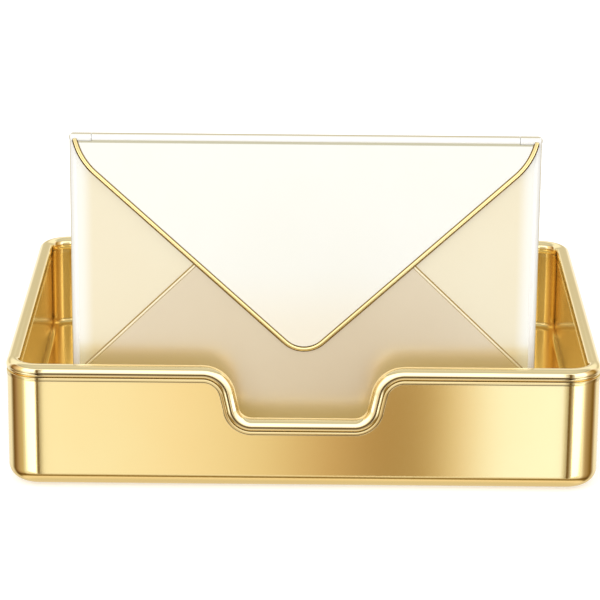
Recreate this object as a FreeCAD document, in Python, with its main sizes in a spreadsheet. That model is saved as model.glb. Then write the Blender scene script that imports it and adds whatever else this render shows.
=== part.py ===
import FreeCAD, Part
import math
import os
import re

import Sketcher

# Letter tray with a finger notch, a round bead along its rim and a metal envelope standing in it.
# Lengths are millimetres. The origin is the middle of the footprint on the desk, +Z is up
# and the notched front wall faces -Y.

DRIVING = {
    # tray walls and floor
    "tray_width": 325.0,
    "tray_depth": 250.0,
    "tray_height": 70.0,
    "corner_radius": 18.0,
    "wall_thickness": 7.0,
    "shell_skin": 1.2,
    "liner_skin": 1.0,
    "bottom_roll_radius": 8.5,
    "floor_height": 15.7,
    "floor_fillet_radius": 3.0,
    # rim bead and the collar under it
    "bead_diameter": 8.0,
    "collar_height": 2.3,
    "collar_proud": 0.3,
    "collar_drop": 2.7,
    "bead_seat_gap": 0.1,
    # finger notch, measured on the axis of the bead
    "notch_mouth_width": 110.2,
    "notch_shoulder_radius": 14.4,
    "notch_foot_radius": 11.2,
    "notch_flank_length": 10.0,
    "notch_flank_angle": 77.8,
    # posts, screws and pads under the floor
    "post_diameter": 12.0,
    "post_inset": 40.0,
    "screw_shank_diameter": 3.0,
    "screw_head_diameter": 5.6,
    "screw_head_height": 1.3,
    "screw_length": 9.0,
    "screw_slot_width": 0.8,
    "screw_slot_depth": 0.5,
    "screw_hole_gap": 0.1,
    "foot_pad_diameter": 14.0,
    "foot_pad_height": 1.0,
    "foot_pad_sink": 0.3,
    "foot_pad_inset": 20.0,
    # channels that stiffen the floor
    "rib_width": 16.0,
    "rib_skin": 1.0,
    "rib_post_gap": 10.0,
    "rib_rivet_gap": 3.0,
    # rail that the envelope stands in
    "rail_length": 200.0,
    "rail_skin": 1.0,
    "rail_lip_height": 10.0,
    "rail_side_gap": 0.3,
    "rivet_shank_diameter": 3.0,
    "rivet_head_diameter": 4.6,
    "rivet_tail_diameter": 5.0,
    "rivet_tail_height": 1.2,
    "rivet_hole_gap": 0.1,
    "rivet_end_inset": 15.0,
    "rivet_step": 55.0,
    # envelope body
    "envelope_side_room": 28.5,
    "envelope_height": 178.4,
    "envelope_setback": 21.0,
    "envelope_body_depth": 8.0,
    "envelope_bottom_gap": 0.3,
    "leaf_skin": 1.0,
    "leaf_side_gap": 0.2,
    "back_drop": 0.5,
    "side_leaf_reach": 77.5,
    "side_leaf_apex_height": 106.5,
    "side_leaf_low_height": 35.0,
    "side_leaf_top_reach": 8.0,
    "bottom_leaf_side_height": 43.3,
    "bottom_leaf_top_height": 110.0,
    "bottom_leaf_slope_width": 68.9,
    "bottom_leaf_corner_radius": 6.0,
    "seam_radius": 1.25,
    # flap and its hinge
    "barrel_diameter": 5.0,
    "barrel_proud": 0.2,
    "hinge_pin_diameter": 2.0,
    "hinge_pin_gap": 0.2,
    "hinge_press_gap": 0.02,
    "knuckle_length": 12.0,
    "knuckle_gap": 0.3,
    "knuckle_block_height": 5.5,
    "knuckle_block_drop": 1.5,
    "knuckle_corner_radius": 2.4,
    "knuckle_end_wall": 4.0,
    "flap_skin": 1.0,
    "flap_rest_gap": 0.5,
    "flap_drop": 118.0,
    "flap_tip_radius": 15.0,
    "flap_shoulder_radius": 35.0,
    "flap_shoulder_inset": 37.5,
    "flap_shoulder_rise": 6.6,
    "edging_radius": 1.8,
    # how far every cut runs past what it cuts
    "overrun": 2.0,
}

DERIVED = {
    "half_width": "tray_width / 2",
    "half_depth": "tray_depth / 2",
    "bead_radius": "bead_diameter / 2",
    "rim_axis_height": "foot_pad_height + tray_height - bead_radius",
    "rim_axis_inset": "wall_thickness / 2",
    "collar_top": "rim_axis_height - collar_drop",
    "wall_top": "collar_top - collar_height",
    "wall_drop": "collar_drop + collar_height",
    "notch_radii": "notch_shoulder_radius + notch_foot_radius",
    "notch_rise": "notch_radii * (1 - cos(notch_flank_angle))",
    "notch_depth": "notch_rise + notch_flank_length * sin(notch_flank_angle)",
    "notch_bend_reach": "notch_radii * sin(notch_flank_angle)",
    "notch_reach": "notch_bend_reach + notch_flank_length * cos(notch_flank_angle)",
    "notch_floor_width": "notch_mouth_width - 2 * notch_reach",
    "floor_top": "foot_pad_height + floor_height",
    "floor_underside": "floor_top - liner_skin",
    "shell_floor_top": "foot_pad_height + shell_skin",
    "crawl_height": "floor_underside - shell_floor_top",
    # layers of the envelope, counted from the middle of the tray towards the front
    "side_leaf_front": "half_depth - envelope_setback",
    "leaf_plane": "side_leaf_front - leaf_skin",
    "bottom_leaf_front": "side_leaf_front + leaf_skin",
    "envelope_rear": "side_leaf_front - envelope_body_depth",
    "leaf_rear": "envelope_rear + leaf_skin",
    "envelope_edge_radius": "envelope_body_depth / 2",
    "envelope_mid": "side_leaf_front - envelope_edge_radius",
    "flap_rear": "bottom_leaf_front + flap_rest_gap",
    "flap_front": "flap_rear + flap_skin",
    "barrel_radius": "barrel_diameter / 2",
    "hinge_plane": "flap_front + barrel_proud - barrel_radius",
    # heights of the envelope
    "envelope_bottom": "floor_top + rail_skin + envelope_bottom_gap",
    "hinge_height": "envelope_bottom + envelope_height - barrel_radius",
    "leaf_top": "hinge_height - knuckle_block_drop - knuckle_block_height",
    "leaf_height": "leaf_top - envelope_bottom",
    "back_top": "hinge_height - back_drop",
    # widths of the envelope
    "envelope_width": "tray_width - 2 * (wall_thickness + envelope_side_room)",
    "leaf_half_width": "envelope_width / 2 - envelope_edge_radius - leaf_side_gap",
    "leaf_top_half_width": "leaf_half_width - bottom_leaf_slope_width",
    "side_leaf_apex": "envelope_width / 2 - side_leaf_reach",
    "flap_shoulder": "envelope_width / 2 - flap_shoulder_inset",
    "knuckle_inner": "envelope_width / 2 - knuckle_length",
    "barrel_length": "2 * (knuckle_inner - knuckle_gap)",
    # rail
    "rail_slot": "envelope_body_depth + leaf_skin + 2 * rail_side_gap",
    "rail_front": "bottom_leaf_front + rail_side_gap + rail_skin",
    "rail_depth": "rail_slot + 2 * rail_skin",
    "rail_mid": "rail_front - rail_depth / 2",
    "rail_height": "rail_skin + rail_lip_height",
    # channels under the floor
    "rib_length": "2 * (rail_mid - rivet_tail_diameter / 2 - rib_rivet_gap)",
    "rib_spacing": "half_width - post_inset - (post_diameter + rib_width) / 2 - rib_post_gap",
}

CORNERS = {"front_left": (-1, -1), "front_right": (1, -1), "rear_left": (-1, 1), "rear_right": (1, 1)}

doc = FreeCAD.newDocument("LetterTray")
sheet = doc.addObject("Spreadsheet::Sheet", "Sizes")
finished = []


def fill_sheet():
    """Write the driving sizes as plain numbers and the derived ones as formulas."""
    cells = list(DRIVING.items()) + [(name, "=" + formula) for name, formula in DERIVED.items()]
    for row, (name, content) in enumerate(cells, start=1):
        sheet.set(f"A{row}", name)
        sheet.set(f"B{row}", str(content))
        sheet.setAlias(f"B{row}", name)
    doc.recompute()


def number(formula):
    """Value of a formula of the sheet's names."""
    return float(sheet.evalExpression(formula))


def linked(formula):
    """The same formula as the document's other objects write it."""
    return re.sub(r"[a-z][a-z_]+", r"Sizes.\g<0>", formula)


def bind(item, **formulas):
    """Tie properties of an object to formulas; a double underscore stands for a dot."""
    for name, formula in formulas.items():
        item.setExpression(name.replace("__", "."), linked(formula))
    return item


def place(item, x="0", y="0", z="0"):
    """Tie the three coordinates of an object's place to formulas."""
    item.setExpression("Placement.Base.x", linked(x))
    item.setExpression("Placement.Base.y", linked(y))
    item.setExpression("Placement.Base.z", linked(z))
    return item


def finish(item, label):
    """Name an object as a finished piece."""
    item.Label = label
    finished.append(item)
    return item


# Primitives and booleans

def box(name, length, width, height, x, y, z):
    """Block with its lowest corner at x, y, z."""
    item = doc.addObject("Part::Box", name)
    bind(item, Length=length, Width=width, Height=height)
    return place(item, x, y, z)


def cylinder(name, radius, height, x, y, z, axis=FreeCAD.Vector(0, 0, 1)):
    """Cylinder that starts at x, y, z and runs along an axis."""
    item = doc.addObject("Part::Cylinder", name)
    item.Placement.Rotation = FreeCAD.Rotation(FreeCAD.Vector(0, 0, 1), axis)
    bind(item, Radius=radius, Height=height)
    return place(item, x, y, z)


def cone(name, radius_below, radius_above, height, x, y, z):
    """Upright cone with its lower face at z."""
    item = doc.addObject("Part::Cone", name)
    bind(item, Radius1=radius_below, Radius2=radius_above, Height=height)
    return place(item, x, y, z)


def cut(name, base, tool):
    """One object less another."""
    item = doc.addObject("Part::Cut", name)
    item.Base = base
    item.Tool = tool
    return item


def fuse(name, items):
    """Objects joined into one solid."""
    item = doc.addObject("Part::MultiFuse", name)
    item.Shapes = items
    item.Refine = True
    return item


def group(name, items):
    """Separate solids kept in one object."""
    item = doc.addObject("Part::Compound", name)
    item.Links = items
    return item


# Sketches and features

def body(name):
    """Empty body."""
    return doc.addObject("PartDesign::Body", name)


def sketch(owner, name, role, offset="0"):
    """Sketch on one of a body's own origin planes, moved along the plane's normal."""
    item = owner.newObject("Sketcher::SketchObject", name)
    plane = next(part for part in owner.Origin.OriginFeatures if part.Role == role)
    item.AttachmentSupport = [(plane, "")]
    item.MapMode = "FlatFace"
    item.setExpression("AttachmentOffset.Base.z", linked(offset))
    return item


def size(item, formula, kind, *places):
    """Dimension of a sketch that reads the sheet."""
    index = item.addConstraint(Sketcher.Constraint(kind, *places, number(formula)))
    item.setExpression(f"Constraints[{index}]", linked(formula))


def tie(item, kind, *places):
    """Geometric constraint of a sketch."""
    item.addConstraint(Sketcher.Constraint(kind, *places))


def line(item, start, end):
    """Line of a sketch between two points."""
    return item.addGeometry(Part.LineSegment(FreeCAD.Vector(*start, 0), FreeCAD.Vector(*end, 0)))


def arc(item, centre, radius, first, last):
    """Arc of a sketch, counter-clockwise between two angles in degrees."""
    circle = Part.Circle(FreeCAD.Vector(*centre, 0), FreeCAD.Vector(0, 0, 1), radius)
    return item.addGeometry(Part.ArcOfCircle(circle, math.radians(first), math.radians(last)))


def rounded_rectangle(item, width, depth, radius):
    """Rectangle with four round corners about the sketch's origin."""
    half_x = number(width) / 2
    half_y = number(depth) / 2
    round_off = number(radius)
    flat_x = half_x - round_off
    flat_y = half_y - round_off
    first = line(item, (-flat_x, -half_y), (flat_x, -half_y))
    arc(item, (flat_x, -flat_y), round_off, -90, 0)
    right = line(item, (half_x, -flat_y), (half_x, flat_y))
    arc(item, (flat_x, flat_y), round_off, 0, 90)
    top = line(item, (flat_x, half_y), (-flat_x, half_y))
    arc(item, (-flat_x, flat_y), round_off, 90, 180)
    left = line(item, (-half_x, flat_y), (-half_x, -flat_y))
    last = arc(item, (-flat_x, -flat_y), round_off, 180, 270)
    for index in range(first, last):
        tie(item, "Tangent", index, 2, index + 1, 1)
    tie(item, "Tangent", last, 2, first, 1)
    for corner in (first + 3, first + 5, last):
        tie(item, "Equal", first + 1, corner)
    tie(item, "Horizontal", first)
    tie(item, "Horizontal", top)
    tie(item, "Vertical", right)
    tie(item, "Symmetric", first, 1, top, 1, -1, 1)
    size(item, width, "DistanceX", left, 1, right, 1)
    size(item, depth, "DistanceY", first, 1, top, 1)
    size(item, radius, "Radius", first + 1)


def polygon(item, corners):
    """Closed outline whose corners are pairs of formulas."""
    points = [(number(x), number(y)) for x, y in corners]
    count = len(points)
    for index in range(count):
        line(item, points[index], points[(index + 1) % count])
    for index in range(count):
        tie(item, "Coincident", index, 2, (index + 1) % count, 1)
    for index, (x, y) in enumerate(corners):
        if number(x) == 0:
            tie(item, "PointOnObject", index, 1, -2)
        else:
            size(item, x, "DistanceX", -1, 1, index, 1)
        if number(y) == 0:
            tie(item, "PointOnObject", index, 1, -1)
        else:
            size(item, y, "DistanceY", -1, 1, index, 1)


def pad(owner, outline, length, reverse=False):
    """Solid made from a sketch along its normal."""
    item = owner.newObject("PartDesign::Pad", outline.Name + "Pad")
    item.Profile = outline
    item.Reversed = reverse
    bind(item, Length=length)
    doc.recompute()
    return item


def pocket(owner, outline, length=None, reverse=False):
    """Cut made from a sketch against its normal, to a depth or right through."""
    before = owner.Tip.Shape.Volume
    item = owner.newObject("PartDesign::Pocket", outline.Name + "Pocket")
    item.Profile = outline
    item.Reversed = reverse
    if length is None:
        item.Type = "ThroughAll"
    else:
        bind(item, Length=length)
    doc.recompute()
    if item.Shape.Volume >= before:
        raise ValueError(outline.Name + " cuts nothing")
    return item


def edges_at(shape, height):
    """Names of the edges that lie wholly at one height."""
    names = []
    for index, edge in enumerate(shape.Edges, start=1):
        bounds = edge.BoundBox
        if abs(bounds.ZMin - height) + abs(bounds.ZMax - height) < bounds.DiagonalLength * 1e-6:
            names.append(f"Edge{index}")
    return names


def round_edges(owner, names, radius):
    """Rounding of a body's edges."""
    base = owner.Tip
    item = owner.newObject("PartDesign::Fillet", owner.Name + "Round")
    item.Base = (base, names)
    bind(item, Radius=radius)
    doc.recompute()
    return item


# Outline of the notch: the bead's axis and every edge that runs parallel below it

def notch_outline(item, drop, side, closing):
    """Profile of the front wall at a drop below the bead's axis, closed at another height."""
    shoulder = number(f"notch_shoulder_radius - ({drop})")
    foot = number(f"notch_foot_radius + {drop}")
    mouth = number("notch_mouth_width / 2")
    floor = number("notch_floor_width / 2")
    high = number(f"rim_axis_height - ({drop})")
    low = high - number("notch_depth")
    edge = number(side)
    outer = number(closing)
    angle = number("notch_flank_angle")
    rise = math.radians(90 - angle)
    shoulder_end = (mouth - shoulder * math.cos(rise), high - shoulder * (1 - math.sin(rise)))
    foot_end = (floor + foot * math.cos(rise), low + foot * (1 - math.sin(rise)))
    line(item, (-edge, high), (-mouth, high))
    arc(item, (-mouth, high - shoulder), shoulder, 90 - angle, 90)
    line(item, (-shoulder_end[0], shoulder_end[1]), (-foot_end[0], foot_end[1]))
    arc(item, (-floor, low + foot), foot, 270 - angle, 270)
    line(item, (-floor, low), (floor, low))
    arc(item, (floor, low + foot), foot, 270, 270 + angle)
    line(item, foot_end, shoulder_end)
    arc(item, (mouth, high - shoulder), shoulder, 90, 90 + angle)
    line(item, (mouth, high), (edge, high))
    line(item, (edge, high), (edge, outer))
    line(item, (edge, outer), (-edge, outer))
    line(item, (-edge, outer), (-edge, high))
    for joint in ((0, 2, 1, 2), (1, 1, 2, 1), (2, 2, 3, 1), (3, 2, 4, 1), (4, 2, 5, 1), (5, 2, 6, 1),
                  (6, 2, 7, 2), (7, 1, 8, 1)):
        tie(item, "Tangent", *joint)
    for joint in ((8, 2, 9, 1), (9, 2, 10, 1), (10, 2, 11, 1), (11, 2, 0, 1)):
        tie(item, "Coincident", *joint)
    tie(item, "Horizontal", 0)
    tie(item, "Horizontal", 10)
    tie(item, "Vertical", 9)
    tie(item, "Vertical", 11)
    tie(item, "Symmetric", 0, 2, 8, 1, -2)
    tie(item, "Symmetric", 4, 1, 4, 2, -2)
    tie(item, "Symmetric", 0, 1, 8, 2, -2)
    tie(item, "Equal", 1, 7)
    tie(item, "Equal", 3, 5)
    size(item, "notch_mouth_width", "DistanceX", 0, 2, 8, 1)
    size(item, "notch_floor_width", "DistanceX", 4, 1, 4, 2)
    size(item, f"rim_axis_height - ({drop})", "DistanceY", -1, 1, 0, 1)
    size(item, "notch_depth", "DistanceY", 4, 1, 0, 2)
    size(item, f"notch_shoulder_radius - ({drop})", "Radius", 1)
    size(item, f"notch_foot_radius + {drop}", "Radius", 3)
    size(item, f"2 * ({side})", "DistanceX", 0, 1, 8, 2)
    size(item, closing, "DistanceY", -1, 1, 10, 1)


def open_notch(owner, name):
    """Cut the notch through the front wall of a pan that ends at the wall's top."""
    outline = sketch(owner, name, "XZ_Plane")
    notch_outline(outline, "wall_drop", "half_width + overrun", "rim_axis_height + overrun")
    pocket(owner, outline, reverse=True)


# Swept rods, from the sizes in the sheet

def straight(start, end):
    """Straight edge."""
    return Part.LineSegment(FreeCAD.Vector(*start), FreeCAD.Vector(*end)).toShape()


def bend(centre, radius, first, last, plane):
    """Arc edge in the level plane or the front plane, between two angles in degrees."""
    def point(angle):
        across = radius * math.cos(math.radians(angle))
        along = radius * math.sin(math.radians(angle))
        step = FreeCAD.Vector(across, along, 0) if plane == "level" else FreeCAD.Vector(across, 0, along)
        return FreeCAD.Vector(*centre) + step
    return Part.Arc(point(first), point((first + last) / 2), point(last)).toShape()


def swept_rod(edges, radius):
    """Rod of round section along joined edges."""
    path = Part.Wire(edges)
    start = edges[0]
    section = Part.Circle(start.valueAt(start.FirstParameter), start.tangentAt(start.FirstParameter), radius)
    rod = path.makePipeShell([Part.Wire(section.toShape())], True, False)
    return rod if rod.Volume > 0 else rod.reversed()


def rim_path():
    """Closed axis of the bead: level round the tray, down and up through the notch in front."""
    half_x = number("half_width - rim_axis_inset")
    half_y = number("half_depth - rim_axis_inset")
    turn = number("corner_radius - rim_axis_inset")
    high = number("rim_axis_height")
    low = high - number("notch_depth")
    shoulder = number("notch_shoulder_radius")
    foot = number("notch_foot_radius")
    mouth = number("notch_mouth_width / 2")
    floor = number("notch_floor_width / 2")
    angle = number("notch_flank_angle")
    flat_x = half_x - turn
    flat_y = half_y - turn
    front = -half_y
    edges = [straight((-flat_x, front, high), (-mouth, front, high)),
             bend((-mouth, front, high - shoulder), shoulder, 90, 90 - angle, "front"),
             bend((-floor, front, low + foot), foot, 270 - angle, 270, "front"),
             straight((-floor, front, low), (floor, front, low)),
             bend((floor, front, low + foot), foot, 270, 270 + angle, "front"),
             bend((mouth, front, high - shoulder), shoulder, 90 + angle, 90, "front"),
             straight((mouth, front, high), (flat_x, front, high)),
             bend((flat_x, -flat_y, high), turn, -90, 0, "level"),
             straight((half_x, -flat_y, high), (half_x, flat_y, high)),
             bend((flat_x, flat_y, high), turn, 0, 90, "level"),
             straight((flat_x, half_y, high), (-flat_x, half_y, high)),
             bend((-flat_x, flat_y, high), turn, 90, 180, "level"),
             straight((-half_x, flat_y, high), (-half_x, -flat_y, high)),
             bend((-flat_x, -flat_y, high), turn, 180, 270, "level")]
    for shoulder_bend, foot_bend in ((1, 2), (5, 4)):
        upper = edges[shoulder_bend].Vertexes[-1 if shoulder_bend == 1 else 0].Point
        lower = edges[foot_bend].Vertexes[0 if foot_bend == 2 else -1].Point
        flank = straight(upper, lower) if shoulder_bend == 1 else straight(lower, upper)
        edges.append(flank)
    return edges[:2] + [edges[14]] + edges[2:5] + [edges[15]] + edges[5:14]


def feature(name, shape):
    """Object that holds a shape made from the sheet's sizes."""
    item = doc.addObject("Part::Feature", name)
    item.Shape = shape
    item.Placement = FreeCAD.Placement()
    return item


# Tray

def make_outer_shell():
    """Pressed pan with a rolled lower edge, the notch and four countersunk holes."""
    pan = body("OuterPan")
    outline = sketch(pan, "ShellOutline", "XY_Plane", "foot_pad_height")
    rounded_rectangle(outline, "tray_width", "tray_depth", "corner_radius")
    pad(pan, outline, "wall_top - foot_pad_height")
    hollow = sketch(pan, "ShellHollow", "XY_Plane", "wall_top")
    rounded_rectangle(hollow, "tray_width - 2 * shell_skin", "tray_depth - 2 * shell_skin",
                      "corner_radius - shell_skin")
    pocket(pan, hollow, "wall_top - shell_floor_top")
    round_edges(pan, edges_at(pan.Tip.Shape, number("shell_floor_top")), "bottom_roll_radius - shell_skin")
    round_edges(pan, edges_at(pan.Tip.Shape, number("foot_pad_height")), "bottom_roll_radius")
    open_notch(pan, "ShellNotch")
    holes = []
    for name, (side, end) in CORNERS.items():
        holes.append(cone("ScrewHole_" + name, "screw_head_diameter / 2 + screw_hole_gap",
                          "screw_shank_diameter / 2 + screw_hole_gap", "shell_skin",
                          f"{side} * (half_width - post_inset)", f"{end} * (half_depth - post_inset)",
                          "foot_pad_height"))
        holes.append(cylinder("PadRecess_" + name, "foot_pad_diameter / 2", "foot_pad_sink",
                              f"{side} * (half_width - foot_pad_inset)",
                              f"{end} * (half_depth - foot_pad_inset)", "foot_pad_height"))
    finish(cut("OuterShell", pan, group("ShellHoles", holes)), "outer_shell")


def rivet_places():
    """Formulas for the four rivets across the rail."""
    outer = "(rail_length / 2 - rivet_end_inset)"
    inner = f"({outer} - rivet_step)"
    return [f"{side} * {spread}" for side in (-1, 1) for spread in (inner, outer)]


def make_inner_liner():
    """Pressed pan with polished walls and the raised floor."""
    pan = body("InnerPan")
    outer_width = "tray_width - 2 * (wall_thickness - liner_skin)"
    outer_depth = "tray_depth - 2 * (wall_thickness - liner_skin)"
    outline = sketch(pan, "LinerOutline", "XY_Plane", "floor_underside")
    rounded_rectangle(outline, outer_width, outer_depth, "corner_radius - wall_thickness + liner_skin")
    pad(pan, outline, "wall_top - floor_underside")
    hollow = sketch(pan, "LinerHollow", "XY_Plane", "wall_top")
    rounded_rectangle(hollow, "tray_width - 2 * wall_thickness", "tray_depth - 2 * wall_thickness",
                      "corner_radius - wall_thickness")
    pocket(pan, hollow, "wall_top - floor_top")
    round_edges(pan, edges_at(pan.Tip.Shape, number("floor_top")), "floor_fillet_radius")
    round_edges(pan, edges_at(pan.Tip.Shape, number("floor_underside")), "floor_fillet_radius + liner_skin")
    open_notch(pan, "LinerNotch")
    holes = [cylinder(f"LinerRivetHole{index}", "rivet_shank_diameter / 2 + rivet_hole_gap",
                      "liner_skin", x, "-rail_mid", "floor_underside")
             for index, x in enumerate(rivet_places())]
    finish(cut("InnerLiner", pan, group("LinerHoles", holes)), "inner_liner")


def make_rim():
    """Round bead, and the collar that caps both wall edges and cradles it."""
    ring = body("CollarRing")
    outline = sketch(ring, "CollarOutline", "XY_Plane", "wall_top - notch_depth")
    rounded_rectangle(outline, "tray_width + 2 * collar_proud", "tray_depth + 2 * collar_proud",
                      "corner_radius + collar_proud")
    rounded_hole = sketch(ring, "CollarHole", "XY_Plane", "collar_top")
    rounded_rectangle(rounded_hole, "tray_width - 2 * (wall_thickness + collar_proud)",
                      "tray_depth - 2 * (wall_thickness + collar_proud)",
                      "corner_radius - wall_thickness - collar_proud")
    pad(ring, outline, "collar_height + notch_depth")
    pocket(ring, rounded_hole)
    above = sketch(ring, "CollarAbove", "XZ_Plane")
    notch_outline(above, "collar_drop", "half_width + overrun", "rim_axis_height + overrun")
    pocket(ring, above, reverse=True)
    below = sketch(ring, "CollarBelow", "XZ_Plane")
    notch_outline(below, "wall_drop", "half_width + overrun", "wall_top - notch_depth - overrun")
    pocket(ring, below, reverse=True)
    rear = sketch(ring, "CollarRear", "XZ_Plane")
    polygon(rear, [("-half_width - overrun", "wall_top - notch_depth - overrun"),
                   ("half_width + overrun", "wall_top - notch_depth - overrun"),
                   ("half_width + overrun", "wall_top"), ("-half_width - overrun", "wall_top")])
    pocket(ring, rear)
    path = rim_path()
    seat = feature("BeadSeat", swept_rod(path, number("bead_radius + bead_seat_gap")))
    finish(cut("RimCollar", ring, seat), "rim_collar")
    finish(feature("RimBead", swept_rod(path, number("bead_radius"))), "rim_bead")


def make_understructure():
    """Posts, screws and pads at the corners, and the channels under the floor."""
    screws = []
    for name, (side, end) in CORNERS.items():
        x = f"{side} * (half_width - post_inset)"
        y = f"{end} * (half_depth - post_inset)"
        post = cylinder("PostRod_" + name, "post_diameter / 2", "crawl_height", x, y, "shell_floor_top")
        bore = cylinder("PostBore_" + name, "screw_shank_diameter / 2 + screw_hole_gap", "screw_length",
                        x, y, "shell_floor_top")
        finish(cut("Post_" + name, post, bore), "floor_post_" + name)
        head = cone("ScrewHead_" + name, "screw_head_diameter / 2", "screw_shank_diameter / 2",
                    "screw_head_height", x, y, "foot_pad_height")
        shank = cylinder("ScrewShank_" + name, "screw_shank_diameter / 2", "screw_length", x, y,
                         "foot_pad_height")
        slot = box("ScrewSlot_" + name, "screw_head_diameter", "screw_slot_width", "screw_slot_depth",
                   x + " - screw_head_diameter / 2", y + " - screw_slot_width / 2", "foot_pad_height")
        screws.append(cut("Screw_" + name, fuse("ScrewBody_" + name, [head, shank]), slot))
        finish(cylinder("Pad_" + name, "foot_pad_diameter / 2", "foot_pad_height + foot_pad_sink",
                        f"{side} * (half_width - foot_pad_inset)",
                        f"{end} * (half_depth - foot_pad_inset)", "0"), "foot_pad_" + name)
    finish(group("BaseScrews", screws), "base_screws")
    for name, step in (("left", -1), ("middle", 0), ("right", 1)):
        x = f"{step} * rib_spacing - rib_width / 2"
        block = box("RibBlock_" + name, "rib_width", "rib_length", "crawl_height", x, "-rib_length / 2",
                    "shell_floor_top")
        hollow = box("RibHollow_" + name, "rib_width - 2 * rib_skin", "rib_length + 2 * overrun",
                     "crawl_height - rib_skin", x + " + rib_skin", "-rib_length / 2 - overrun",
                     "shell_floor_top")
        finish(cut("Rib_" + name, block, hollow), "floor_rib_" + name)


def make_rail():
    """Low channel that the envelope stands in, and the flush rivets that hold it."""
    block = box("RailBlock", "rail_length", "rail_depth", "rail_height", "-rail_length / 2",
                "-rail_front", "floor_top")
    slot = box("RailSlot", "rail_length + 2 * overrun", "rail_slot", "rail_lip_height + overrun",
               "-rail_length / 2 - overrun", "-rail_front + rail_skin", "floor_top + rail_skin")
    holes = [slot]
    rivets = []
    for index, x in enumerate(rivet_places()):
        holes.append(cone(f"RailRivetHole{index}", "rivet_shank_diameter / 2 + rivet_hole_gap",
                          "rivet_head_diameter / 2 + rivet_hole_gap", "rail_skin", x, "-rail_mid",
                          "floor_top"))
        head = cone(f"RivetHead{index}", "rivet_shank_diameter / 2", "rivet_head_diameter / 2",
                    "rail_skin", x, "-rail_mid", "floor_top")
        shank = cylinder(f"RivetShank{index}", "rivet_shank_diameter / 2", "liner_skin", x, "-rail_mid",
                         "floor_underside")
        tail = cylinder(f"RivetTail{index}", "rivet_tail_diameter / 2", "rivet_tail_height", x,
                        "-rail_mid", "floor_underside - rivet_tail_height")
        rivets.append(fuse(f"Rivet{index}", [head, shank, tail]))
    finish(cut("LetterRail", block, group("RailCuts", holes)), "letter_rail")
    finish(group("RailRivets", rivets), "rail_rivets")


# Envelope

def make_envelope_sides():
    """Rear panel, the half-round strip down each side and the front leaf beside each strip."""
    flank = "(envelope_width / 2 - envelope_edge_radius)"
    back = body("EnvelopeBack")
    outline = sketch(back, "BackOutline", "XZ_Plane", "envelope_rear")
    polygon(outline, [(f"-{flank}", "envelope_bottom"), (flank, "envelope_bottom"),
                      (flank, "leaf_top"), ("barrel_length / 2", "leaf_top"),
                      ("barrel_length / 2", "back_top"), ("-barrel_length / 2", "back_top"),
                      ("-barrel_length / 2", "leaf_top"), (f"-{flank}", "leaf_top")])
    pad(back, outline, "leaf_skin")
    finish(back, "envelope_back")
    strip = body("SideStripLeft")
    outline = sketch(strip, "SideStripSection", "XY_Plane", "envelope_bottom")
    centre = (-number(flank), -number("envelope_mid"))
    outer = number("envelope_edge_radius")
    inner = number("envelope_edge_radius - leaf_skin")
    arc(outline, centre, outer, 90, 270)
    arc(outline, centre, inner, 90, 270)
    line(outline, (centre[0], centre[1] + outer), (centre[0], centre[1] + inner))
    line(outline, (centre[0], centre[1] - outer), (centre[0], centre[1] - inner))
    tie(outline, "Coincident", 0, 3, 1, 3)
    for joint in ((2, 1, 0, 1), (2, 2, 1, 1), (3, 1, 0, 2), (3, 2, 1, 2)):
        tie(outline, "Coincident", *joint)
    tie(outline, "Vertical", 2)
    tie(outline, "Vertical", 3)
    tie(outline, "PointOnObject", 0, 3, 2)
    size(outline, "envelope_edge_radius", "Radius", 0)
    size(outline, "envelope_edge_radius - leaf_skin", "Radius", 1)
    size(outline, flank, "DistanceX", 0, 3, -1, 1)
    size(outline, "envelope_mid", "DistanceY", 0, 3, -1, 1)
    pad(strip, outline, "leaf_height")
    leaf = body("SideLeafLeft")
    plate = sketch(leaf, "SideLeafOutline", "XZ_Plane", "leaf_plane")
    polygon(plate, [(f"-{flank}", "envelope_bottom + side_leaf_low_height"),
                    ("-side_leaf_apex", "envelope_bottom + side_leaf_apex_height"),
                    (f"side_leaf_top_reach - {flank}", "leaf_top"),
                    (f"-{flank}", "leaf_top")])
    pad(leaf, plate, "leaf_skin")
    for piece, name in ((strip, "side_strip"), (leaf, "side_leaf")):
        finish(piece, name + "_left")
        other = doc.addObject("Part::Mirroring", piece.Name.replace("Left", "Right"))
        other.Source = piece
        other.Normal = FreeCAD.Vector(1, 0, 0)
        finish(other, name + "_right")


def leaf_corners():
    """Upper outline of the bottom leaf as formulas, from its left side to its right side."""
    side_z = "envelope_bottom + bottom_leaf_side_height"
    top_z = "envelope_bottom + bottom_leaf_top_height"
    return [("-leaf_half_width", side_z), ("-leaf_top_half_width", top_z),
            ("leaf_top_half_width", top_z), ("leaf_half_width", side_z)]


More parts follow.
